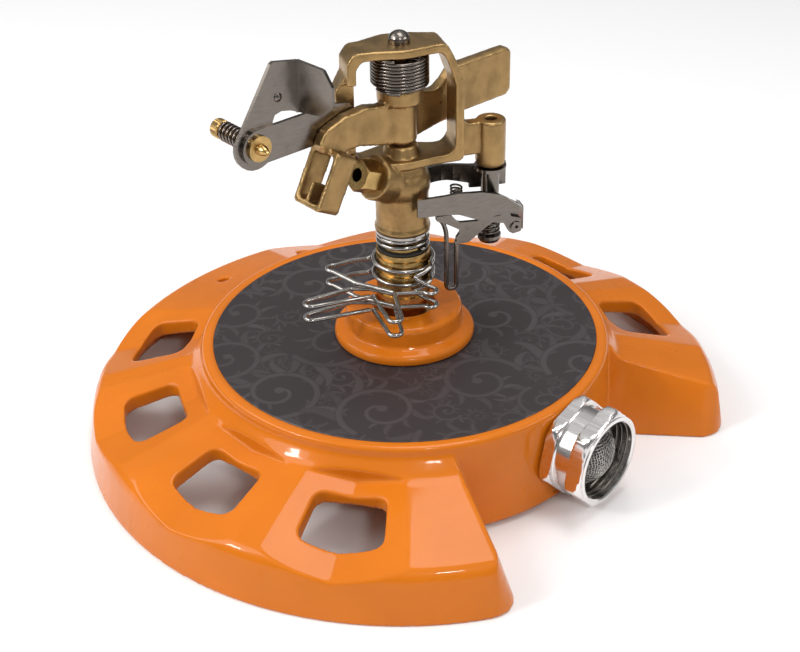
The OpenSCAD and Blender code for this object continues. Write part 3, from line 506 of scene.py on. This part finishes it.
def lathe(name, profile, segments=96, place=None, closed=True):
    """A body of revolution about Z from (radius, height) points in millimetres."""
    bm = bmesh.new()
    columns = []
    for s in range(segments):
        a = 2 * math.pi * s / segments
        columns.append([bm.verts.new((r * math.cos(a) * MM, r * math.sin(a) * MM, z * MM))
                        for r, z in profile])
    count = len(profile)
    spans = range(count if closed else count - 1)
    for s in range(segments):
        here, there = columns[s], columns[(s + 1) % segments]
        for i in spans:
            j = (i + 1) % count
            bm.faces.new((here[i], there[i], there[j], here[j]))
    bmesh.ops.remove_doubles(bm, verts=bm.verts, dist=1e-7)
    outward(bm)
    return made_mesh(bm, name, place)


def inlet_place():
    """Turns a piece made about Z so that its axis is the hose inlet's and its height is +X."""
    return Matrix.Translation((0, 0, INLET_Z * MM)) @ Matrix.Rotation(math.radians(90), 4, "Y")


def screw_place():
    """Turns a piece made about Z so that it lies on the diffuser screw's axis."""
    return (turned(ARM_AZ) @ Matrix.Translation((-SCREW_X * MM, 0, SCREW_Z * MM))
            @ Matrix.Rotation(math.radians(-90), 4, "X"))


# Pieces

class SPRINKLER_OT_base(bpy.types.Operator):
    """Enamelled base casting and hub with soft cast edges"""
    bl_idname = "sprinkler.base"
    bl_label = "Base casting"

    def execute(self, context):
        cast = context.scene.sprinkler_casting
        soft_casting("base_skin", "base_casting", "base", "orange_enamel", cast.base_depth,
                     cast.base_rounds)
        dress("orange_enamel", "hub_boss")
        return {"FINISHED"}


def scroll_centres(rng, inner, outer):
    """Centres and sizes of scrolls that fill the ring between two radii."""
    placed = []
    for smallest, tries in ((15, 400), (10, 900), (6, 1500), (3.6, 2500)):
        for _ in range(tries):
            a, r = rng.uniform(0, 2 * math.pi), math.sqrt(rng.uniform(inner ** 2, outer ** 2))
            x, y = r * math.cos(a), r * math.sin(a)
            room = min([18.0] + [math.hypot(x - px, y - py) - size * 0.78 for px, py, size in placed])
            if room >= smallest:
                placed.append((x, y, min(room, smallest * 1.2)))
    return placed


def acanthus_lobe(root, heading, reach, curl, fat=0.105, steps=12):
    """A lobe with a fat middle and a curled point, as strokes with a half width at each end."""
    strokes = []
    p, w = Vector(root), reach * 0.02
    for i in range(1, steps + 1):
        t = i / steps
        q = p + Vector((math.cos(heading), math.sin(heading))) * reach / steps
        v = reach * (0.02 + fat * math.sin(math.pi * t ** 0.8) ** 0.8) * (1 - 0.25 * t)
        strokes.append((p, q, w, v))
        heading += curl / steps * (0.3 + 1.4 * t ** 2)
        p, w = q, v
    return strokes


def scroll_leaves(x, y, size, heading, hand):
    """A spiral stem that tapers to its eye, with lobes on its outside and small ones inside."""
    steps, turns = 48, 1.45
    spine = []
    for i in range(steps + 1):
        t = i / steps
        a = heading + hand * turns * 2 * math.pi * t
        r = size * (0.8 * (1 - t) ** 0.9 + 0.07)
        spine.append((Vector((x + r * math.cos(a), y + r * math.sin(a))), a + hand * math.pi / 2,
                      size * (0.06 - 0.03 * t)))
    leaves = []
    for k in range(11):
        p, along, _ = spine[3 * k]
        reach = size * (0.98 - 0.055 * k) * (1 if k % 2 else 0.72)
        leaves.append(acanthus_lobe(p, along - hand * 0.3, reach, -hand * 1.9))
        if k % 2:
            leaves.append(acanthus_lobe(p, along + hand * 0.25, reach * 0.5, hand * 2.1))
    leaves.append([(p, q, w, v) for (p, _, w), (q, _, v) in zip(spine, spine[1:])]
                  + [(spine[-1][0], spine[-1][0], size * 0.1, size * 0.1)])
    return leaves


def cell_span(places, pad, half, cell, count):
    """First and last cell that the places reach with a pad round them, on a grid from -half."""
    first = int((min(places) - pad + half) / cell)
    last = int((max(places) + pad + half) / cell) + 2
    return max(0, first), min(count, last)


def print_mask(leaves, half, cell, gap):
    """Tone of each cell of a square grid under leaves that overlap, with a dark gap round each."""
    count = int(2 * half / cell) + 1
    mask = np.zeros((count, count))
    for tone, strokes in leaves:
        ends = [p for p, _, _, _ in strokes] + [strokes[-1][1]]
        pad = max(max(w, v) for _, _, w, v in strokes) + gap + cell
        i0, i1 = cell_span([p.x for p in ends], pad, half, cell, count)
        j0, j1 = cell_span([p.y for p in ends], pad, half, cell, count)
        if i0 >= i1 or j0 >= j1:
            continue
        gx = (np.arange(i0, i1) * cell - half)[:, None]
        gy = (np.arange(j0, j1) * cell - half)[None, :]
        inside = np.full((i1 - i0, j1 - j0), -1e3)
        for p, q, w, v in strokes:
            d = q - p
            t = np.clip(((gx - p.x) * d.x + (gy - p.y) * d.y) / max(d.length_squared, 1e-9), 0, 1)
            inside = np.maximum(inside, w + (v - w) * t - np.hypot(gx - p.x - t * d.x, gy - p.y - t * d.y))
        blur = 1.5 * cell
        cover = np.clip(inside / blur + 0.5, 0, 1)
        halo = np.clip((inside + gap) / blur + 0.5, 0, 1)
        part = mask[i0:i1, j0:j1]
        mask[i0:i1, j0:j1] = np.maximum(part * (1 - halo), cover * tone)
    return mask


def ring_plate(name, rings, segments):
    """A plate round Z whose closed section runs through (radius, height) points in millimetres."""
    verts, faces = [], []
    for r, z in rings:
        for s in range(segments):
            a = 2 * math.pi * s / segments
            verts.append((r * math.cos(a) * MM, r * math.sin(a) * MM, z * MM))
    n = len(rings)
    for i in range(n):
        j = (i + 1) % n
        for s in range(segments):
            t = (s + 1) % segments
            faces.append((i * segments + s, j * segments + s, j * segments + t, i * segments + t))
    mesh = bpy.data.meshes.new(name)
    mesh.from_pydata(verts, [], faces)
    return mesh


class SPRINKLER_OT_label(bpy.types.Operator):
    """Round label plate with its printed scrollwork"""
    bl_idname = "sprinkler.label"
    bl_label = "Label plate"

    def execute(self, context):
        hole_r, edge = SLEEVE_R + 1, 0.25
        around, across = 840, 150
        top = [(hole_r + (LABEL_R - edge - hole_r) * i / across, LABEL_TOP) for i in range(across + 1)]
        under = LABEL_TOP - LABEL_THICK
        rings = top + [(LABEL_R, LABEL_TOP - edge), (LABEL_R, under), (hole_r, under)]
        mesh = ring_plate("label_print", rings, around)
        rng = random.Random(41)
        leaves = []
        for x, y, size in sorted(scroll_centres(rng, 20, LABEL_R + 6), key=lambda scroll: scroll[2]):
            scroll = scroll_leaves(x, y, size, rng.uniform(0, 2 * math.pi), rng.choice((-1, 1)))
            leaves += [(rng.uniform(0.55, 1), leaf) for leaf in scroll]
        half, cell, gap = LABEL_R + 2, 0.2, 0.35
        mask = print_mask(leaves, half, cell, gap)
        places = np.empty(len(mesh.vertices) * 3)
        mesh.vertices.foreach_get("co", places)
        grid = (places.reshape(-1, 3)[:, :2] / MM + half) / cell
        low = np.floor(grid).astype(int)
        fx, fy = (grid - low).T
        i, j = low.T
        shade_at = (mask[i, j] * (1 - fx) * (1 - fy) + mask[i + 1, j] * fx * (1 - fy)
                    + mask[i, j + 1] * (1 - fx) * fy + mask[i + 1, j + 1] * fx * fy)
        attribute = mesh.attributes.new("print", "FLOAT", "POINT")
        attribute.data.foreach_set("value", shade_at)
        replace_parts(put("label_print", mesh, "base", "label", smooth=False), "label_disc")
        return {"FINISHED"}


class SPRINKLER_OT_coupling(bpy.types.Operator):
    """Swivel coupling with its thread, washer and woven screen"""
    bl_idname = "sprinkler.coupling"
    bl_label = "Hose coupling"

    def execute(self, context):
        dress("rubber", "hose_washer")
        place = inlet_place()
        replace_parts(put("coupling_skin", self.nut(place), "coupling", "chrome", crisp=35), "coupling_nut")
        turns, pitch = 2.9, 2.2
        ridge = helix(HOSE_R + 0.05, THREAD_X - 3.4, pitch, 0, turns * TURN, 60)
        put("coupling_thread", tube_mesh("coupling_thread", ridge, 0.36, 8, place), "coupling", "chrome",
            finish="steel")
        self.screen(place)
        return {"FINISHED"}

    def nut(self, place):
        """Two chamfered hexagon bands on a round waist, with a rolled lip round the mouth.

        The section runs along the outside and back through the bore, as (place, radius) points; where
        it belongs to a hexagon band, the six flats cut into that radius.
        """
        full, waist, bore = 19, NUT_FLAT - 0.9, HOSE_R + 0.3
        inner_band = [(NUT_X0, 17.3), (NUT_X0 + 0.5, 17.8), (NUT_X0 + 1.6, full), (WAIST_X0 - 1.6, full),
                      (WAIST_X0 - 0.5, 17.8), (WAIST_X0 - 0.1, 17.3), (WAIST_X0, 17)]
        middle = [(WAIST_X0, waist + 0.3), (WAIST_X0 + 0.3, waist), (WAIST_X1 - 0.3, waist),
                  (WAIST_X1, waist + 0.3)]
        outer_band = [(WAIST_X1, 16.6), (WAIST_X1 + 0.1, 17.3), (WAIST_X1 + 0.5, 17.9),
                      (WAIST_X1 + 1.2, full), (MOUTH_X - 2.2, full), (MOUTH_X - 1.5, 17.8),
                      (MOUTH_X - 0.9, 16.7), (MOUTH_X - 0.6, 16.1)]
        lip_and_bore = [(MOUTH_X - 0.55, 15.9), (MOUTH_X - 0.4, 15.85), (MOUTH_X - 0.15, 15.95),
                        (MOUTH_X, 15.7), (MOUTH_X, 14.6), (MOUTH_X - 0.4, HOSE_R), (THREAD_X, HOSE_R),
                        (THREAD_X, bore), (NUT_BORE_X, bore), (NUT_BORE_X, TAIL_R), (NUT_X0, TAIL_R)]
        parts = ((inner_band, True), (middle, False), (outer_band, True), (lip_and_bore, False))
        bands = [(x, cap, hexed) for part, hexed in parts for x, cap in part]
        sharp, around = 90, 288
        flats = []
        for k in range(around):
            a = 2 * math.pi * k / around
            faces = [math.cos(a - math.radians(NUT_TURN + 30 + 60 * n)) for n in range(6)]
            flats.append(sum(max(0, f) ** sharp for f in faces) / NUT_FLAT ** sharp)
        bm = bmesh.new()
        loops = []
        for x, cap, hexed in bands:
            radii = [(flat + cap ** -sharp) ** (-1 / sharp) if hexed else cap for flat in flats]
            loops.append(radial_loop(bm, radii, x))
        for here, there in zip(loops, loops[1:] + loops[:1]):
            band(bm, here, there)
        outward(bm)
        return made_mesh(bm, "coupling_skin", place)

    def screen(self, place):
        """A dome of woven wire inside a rolled rim."""
        radius, rise, wire, pitch = 11.8, 10.3, 0.2, 0.95
        bm = bmesh.new()
        count = int(radius / pitch)
        for turn in (0, 1):
            for k in range(-count, count + 1):
                offset = k * pitch
                half = math.sqrt(radius ** 2 - offset ** 2)
                steps = max(8, int(half * 2.4))
                points = []
                for i in range(steps + 1):
                    along = -half * math.cos(math.pi * i / steps)
                    bowl = max(0, 1 - (along ** 2 + offset ** 2) / radius ** 2)
                    weave = wire * 0.8 * (-1) ** (i + k + turn)
                    x, y = (along, offset) if turn == 0 else (offset, along)
                    points.append((x, y, SCREEN_X + 0.4 + rise * bowl ** 0.55 + weave))
                part = tube_mesh("strand", points, wire, 5)
                bm.from_mesh(part)
                bpy.data.meshes.remove(part)
        mesh = made_mesh(bm, "screen_mesh", place)
        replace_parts(put("screen_weave", mesh, "coupling", "steel", finish="wire"), "inlet_screen")
        rim = [(13.1, SCREEN_X), (13.1, SCREEN_X + 0.5), (12.8, SCREEN_X + 0.8), (12.0, SCREEN_X + 0.9),
               (11.5, SCREEN_X + 0.6), (11.5, SCREEN_X)]
        put("screen_rim", lathe("screen_rim", rim, 72, place), "coupling", "steel")


class SPRINKLER_OT_castings(bpy.types.Operator):
    """Sand-cast brass body and arm with soft edges"""
    bl_idname = "sprinkler.castings"
    bl_label = "Brass castings"

    def execute(self, context):
        cast = context.scene.sprinkler_casting
        skins = (("body_skin", "sprinkler_body", "head"), ("arm_skin", "impact_arm", "arm"))
        for name, node, body in skins:
            soft_casting(name, node, body, "cast_brass", cast.brass_depth, cast.brass_rounds)
        dress("cast_brass", "inlet_manifold")
        return {"FINISHED"}


class SPRINKLER_OT_turned_parts(bpy.types.Operator):
    """Turned brass, bronze and rubber pieces of the bearing, nozzle and pivots"""
    bl_idname = "sprinkler.turned_parts"
    bl_label = "Turned parts"

    def execute(self, context):
        dress("brass", "inlet_tailpiece", "bearing_sleeve", "bearing_nipple", "nozzle", "screw_grommet")
        dress("copper", "arm_bush", "arm_washer")
        dress("rubber", "sleeve_seal")
        dress("wire", "thrust_washer")
        dress("steel", "pivot_pin", "bracket_rivets", "flap_washer", "trip_shaft", "trip_spacer",
              "trip_rivet")
        return {"FINISHED"}


def collar_path(z):
    """The wire of one friction collar: front and left tabs, turns round the sleeve, right and low tabs."""
    bend = 1.45 * COLLAR_WIRE
    outside = COLLAR_R + 1.15 * COLLAR_WIRE

    def at(a, drop):
        """A point just outside the coil."""
        return outside * math.cos(math.radians(a)), outside * math.sin(math.radians(a)), -drop

    coil = helix(COLLAR_R, 0, -(COLLAR_WIRE + 0.06), 15, 545, 44)[::-1]
    front = [(4, -20.8, -6.3), *hairpin((21.4, -28.8, -6.4), (0.72, -0.69, 0), bend)]
    left = [(8.6, -14.7, -5.9), (-6, -19, -5.4),
            *hairpin((-20.2, -18.2, -4.8), (-0.84, -0.54, 0), bend, -1), (-15.5, -10.4, -3.4)]
    right = [at(2, 0.8), at(-14, 1.9), at(-33, 2.9), (14, -3.5, -6),
             *hairpin((18.2, -4.9, -7.2), (0.94, -0.34, 0), bend, -1), (7, -13.2, -7.7),
             (-1.8, -15.9, -7.7)]
    low = [(-7, -20.2, -7.7), *hairpin((-11.6, -38.6, -7.7), (-0.35, -0.94, 0), bend), (1.6, -20, -7.7)]
    path = bent([*front, *left, at(570, 0.2 - coil[0][2]), *coil, *right, *low])
    return [p + Z_UP * z for p in path]


class SPRINKLER_OT_wires(bpy.types.Operator):
    """Friction collars, springs and the trip wire as smooth round wire"""
    bl_idname = "sprinkler.wires"
    bl_label = "Wires and springs"

    def execute(self, context):
        head = turned(HEAD_AZ)
        lug = head @ Matrix.Translation((LUG_X * MM, 0, 0))
        for side, z in (("upper", UPPER_COLLAR_Z), ("lower", LOWER_COLLAR_Z)):
            self.wire(f"collar_{side}_wire", collar_path(z), COLLAR_WIRE / 2, f"{side}_collar", "chrome",
                      f"friction_collar_{side}")
        self.wire("bearing_ring", helix(8.8, 73.55, 2.225, 0, 2 * TURN, 60), 0.75, "head", "chrome",
                  "bearing_spring")
        self.arm_spring(head)
        toggle_turns = 4.75
        toggle_pitch = (FRAME_Z - SPRING_Z - 0.55) / toggle_turns
        self.wire("toggle_coil", helix(3.4, SPRING_Z, toggle_pitch, 90, 90 + toggle_turns * TURN, 30), 0.5,
                  "head", "steel", "toggle_spring", lug)
        post = head @ Matrix.Translation((20.2 * MM, 1.2 * MM, 0))
        post_foot = FRAME_Z + 2 * SHEET + 0.55
        self.wire("small_coil", helix(1.95, post_foot, 1.25, 0, 5.5 * TURN, 24), 0.4, "trip", "steel",
                  "coil_spring", post)
        self.wire("diffuser_coil", helix(2.9, DIFFUSER_SPRING_Y, 1.9, 0, 7 * TURN, 24), 0.45, "screw",
                  "steel", "diffuser_spring", screw_place())
        self.trip_wire(head)
        return {"FINISHED"}

    def wire(self, name, points, radius, body, slot, node, place=None):
        """Round wire in place of a CAD node; plated wire is duller than the coupling's chrome."""
        finish = "wire" if slot == "chrome" else slot
        piece = put(name, tube_mesh(name, points, radius, 12, place), body, slot, finish=finish)
        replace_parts(piece, node)

    def arm_spring(self, place):
        """Coil round the pivot, with its ends led out to the body."""
        wire, turns, start = 1.1, 9, 200
        low, top = 133.3 + wire / 2, 144.85 - wire / 2
        pitch = (top - low) / turns
        coil = helix(9.4, low, pitch, start, start + turns * TURN, 48)
        end = Vector(coil[-1])
        lead = smooth_path([(-3, -10.6, low - 0.1), (-6.4, -8.6, low - 0.05), coil[0]], 0.7)[:-1]
        tail = smooth_path([end, end + Vector((1.6, -3.4, 0.1)), end + Vector((4.5, -5.5, 0.1))], 0.7)[1:]
        self.wire("arm_coil", lead + coil + tail, wire / 2, "head", "steel", "arm_spring", place)

    def trip_wire(self, place):
        """Hairpin that hangs from the levers, bent round at its foot."""
        r, half, x = 0.85, 1.85, 15.9
        y = -8.9 + SHEET + 0.05 + r
        low = 54.4 + half + r
        bend = [(x + half * math.cos(math.radians(a)), y, low + half * math.sin(math.radians(a)))
                for a in range(180, 361, 20)]
        legs = [(11.9, y, FRAME_Z + 1.8), (12.9, y, 82), (x - half, y, 77.5), *bend,
                (x + half, y, 73.4), (x + half + 1, y, 75.6), (22.4, y, 78.4)]
        self.wire("trip_hairpin", smooth_path(legs, 0.9), r, "trip", "steel", "trip_wire", place)


class SPRINKLER_OT_levers(bpy.types.Operator):
    """Sheet-steel levers, deflector and screw"""
    bl_idname = "sprinkler.levers"
    bl_label = "Levers and deflector"

    def execute(self, context):
        dress("steel", "deflector_bracket", "deflector_flap", "lever_sleeve", "reversing_lever",
              "trip_lever", "trip_frame")
        dimple = [(0, 0.75), (0.7, 0.7), (1.0, 0.4), (1.3, 0.42), (1.5, 0.2), (1.6, -0.3), (0, -0.3)]
        place = (turned(ARM_AZ) @ Matrix.Translation((-47.6 * MM, (FLAP_Y1 - SHEET) * MM, 141 * MM))
                 @ Matrix.Rotation(math.radians(90), 4, "X"))
        put("flap_dimple", lathe("flap_dimple", dimple, 32, place, closed=False), "flap", "steel")
        self.screw()
        return {"FINISHED"}

    def screw(self):
        """Diffuser screw with a threaded shank, a point and a knurled head."""
        place = screw_place()
        head_y = DIFFUSER_SPRING_Y + 13.3 + 0.6
        shank = [(0, -3.4), (0.35, -3.4), (1.75, -0.4), (1.75, head_y), (0, head_y)]
        piece = put("screw_shank", lathe("screw_shank", shank, 40, place, closed=False), "screw", "brass")
        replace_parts(piece, "diffuser_screw")
        ridge = helix(1.68, 0.1, 0.75, 0, 8 * TURN, 24)
        put("screw_thread", tube_mesh("screw_thread", ridge, 0.2, 6, place), "screw", "brass")
        corners, notch, top = 52, 0.18, head_y + 4.2
        bm = bmesh.new()
        loops = []
        for z, radius in ((head_y, 3.0), (head_y + 0.5, 3.3), (top - 0.7, 3.3), (top, 2.7)):
            loops.append(radial_loop(bm, [radius - notch * (j % 2) for j in range(corners)], z))
        for low, high in zip(loops, loops[1:]):
            band(bm, low, high)
        bm.faces.new(loops[0][::-1])
        bm.faces.new(loops[-1])
        outward(bm)
        put("screw_head", made_mesh(bm, "screw_head", place), "screw", "brass", smooth=False)


# Stage

class SPRINKLER_OT_stage(bpy.types.Operator):
    """Floor, surround, lights and camera"""
    bl_idname = "sprinkler.stage"
    bl_label = "Stage"

    def execute(self, context):
        self.floor(context)
        self.surround(context)
        self.lights(context)
        self.camera(context)
        return {"FINISHED"}

    def floor(self, context):
        """A wide plain floor, much wider than the view."""
        mesh = bpy.data.meshes.new("floor")
        half = 6.0
        corners = [(-half, -half, 0), (half, -half, 0), (half, half, 0), (-half, half, 0)]
        mesh.from_pydata(corners, [], [(0, 1, 2, 3)])
        obj = bpy.data.objects.new("floor", mesh)
        context.scene.collection.objects.link(obj)
        mat, _, _ = make_material("floor_white", tuple(context.scene.sprinkler_stage.floor), 0.9)
        mesh.materials.append(mat)

    def surround(self, context):
        """A bright overhead sky with a darker band above the horizon, as round a light tent."""
        context.scene.view_settings.view_transform = "Standard"
        world = bpy.data.worlds.new("surround")
        context.scene.world = world
        world.use_nodes = True
        tree = world.node_tree
        coord = add(tree, "ShaderNodeTexCoord")
        split = add(tree, "ShaderNodeSeparateXYZ")
        tree.links.new(coord.outputs["Generated"], split.inputs[0])
        tone = ramp(tree, split.outputs["Z"],
                    [(0, 0.3), (0.1, 0.2), (0.4, 0.24), (0.62, 0.62), (1, 0.74)])
        back = tree.nodes["Background"]
        tree.links.new(tone, back.inputs["Color"])
        back.inputs["Strength"].default_value = context.scene.sprinkler_stage.sky

    def lights(self, context):
        """Area lights, given by name, place, width and power, that face the head's foot."""
        key = context.scene.sprinkler_stage.key
        target = Vector((0, 0, 0.06))
        rows = (("key", (-0.55, -0.65, 0.75), 1.0, key),
                ("rim", (0.75, 0.35, 0.55), 0.35, key * 0.25),
                ("top", (0.05, 0.1, 0.95), 0.6, key * 0.5),
                ("glint_left", (-0.3, -0.85, 0.6), 0.12, key * 0.3),
                ("glint_right", (0.7, -0.5, 0.65), 0.12, key * 0.25))
        for name, place, size, power in rows:
            data = bpy.data.lights.new(name, "AREA")
            data.shape = "RECTANGLE"
            data.size, data.size_y = size, size * 0.6
            data.energy = power
            obj = bpy.data.objects.new(name, data)
            context.scene.collection.objects.link(obj)
            obj.location = place
            obj.rotation_mode = "QUATERNION"
            obj.rotation_quaternion = (Vector(place) - target).to_track_quat("Z", "Y")

    def camera(self, context):
        """The camera as solved from the photo: its axes in the scene and its place in metres."""
        data = bpy.data.cameras.new("camera")
        data.lens, data.sensor_width = 67.78, 36
        data.clip_start, data.clip_end = 0.01, 20
        obj = bpy.data.objects.new("camera", data)
        context.scene.collection.objects.link(obj)
        right, up = (0.755, 0.65549, -0.01778), (-0.32987, 0.4031, 0.85364)
        back = (0.56672, -0.63863, 0.52056)
        place = (0.3117, -0.3537, 0.3260)
        rows = [[right[i], up[i], back[i], place[i]] for i in range(3)]
        obj.matrix_world = Matrix(rows + [[0, 0, 0, 1]])
        context.scene.camera = obj


# Panel and registration

class SPRINKLER_PT_panel(bpy.types.Panel):
    """Lists the sprinkler's pieces and their settings"""
    bl_label = "Sprinkler"
    bl_idname = "SPRINKLER_PT_panel"
    bl_space_type = "VIEW_3D"
    bl_region_type = "UI"
    bl_category = "Sprinkler"

    def draw(self, context):
        layout = self.layout
        for operator in OPERATORS:
            layout.operator(operator.bl_idname)
        for name in GROUPS:
            group = getattr(context.scene, name)
            box = layout.box()
            for key in group.__annotations__:
                box.prop(group, key)


GROUPS = {"sprinkler_paint": SprinklerPaint, "sprinkler_metal": SprinklerMetal,
          "sprinkler_casting": SprinklerCasting, "sprinkler_stage": SprinklerStage}
OPERATORS = (SPRINKLER_OT_base, SPRINKLER_OT_label, SPRINKLER_OT_coupling, SPRINKLER_OT_castings,
             SPRINKLER_OT_turned_parts, SPRINKLER_OT_wires, SPRINKLER_OT_levers, SPRINKLER_OT_stage)
CLASSES = (*GROUPS.values(), *OPERATORS, SPRINKLER_PT_panel)


def register():
    for cls in CLASSES:
        bpy.utils.register_class(cls)
    for name, group in GROUPS.items():
        setattr(bpy.types.Scene, name, PointerProperty(type=group))


def unregister():
    for name in GROUPS:
        delattr(bpy.types.Scene, name)
    for cls in reversed(CLASSES):
        bpy.utils.unregister_class(cls)


def main():
    register()
    for operator in OPERATORS:
        group, name = operator.bl_idname.split(".")
        getattr(getattr(bpy.ops, group), name)()


if __name__ == "__main__":
    main()
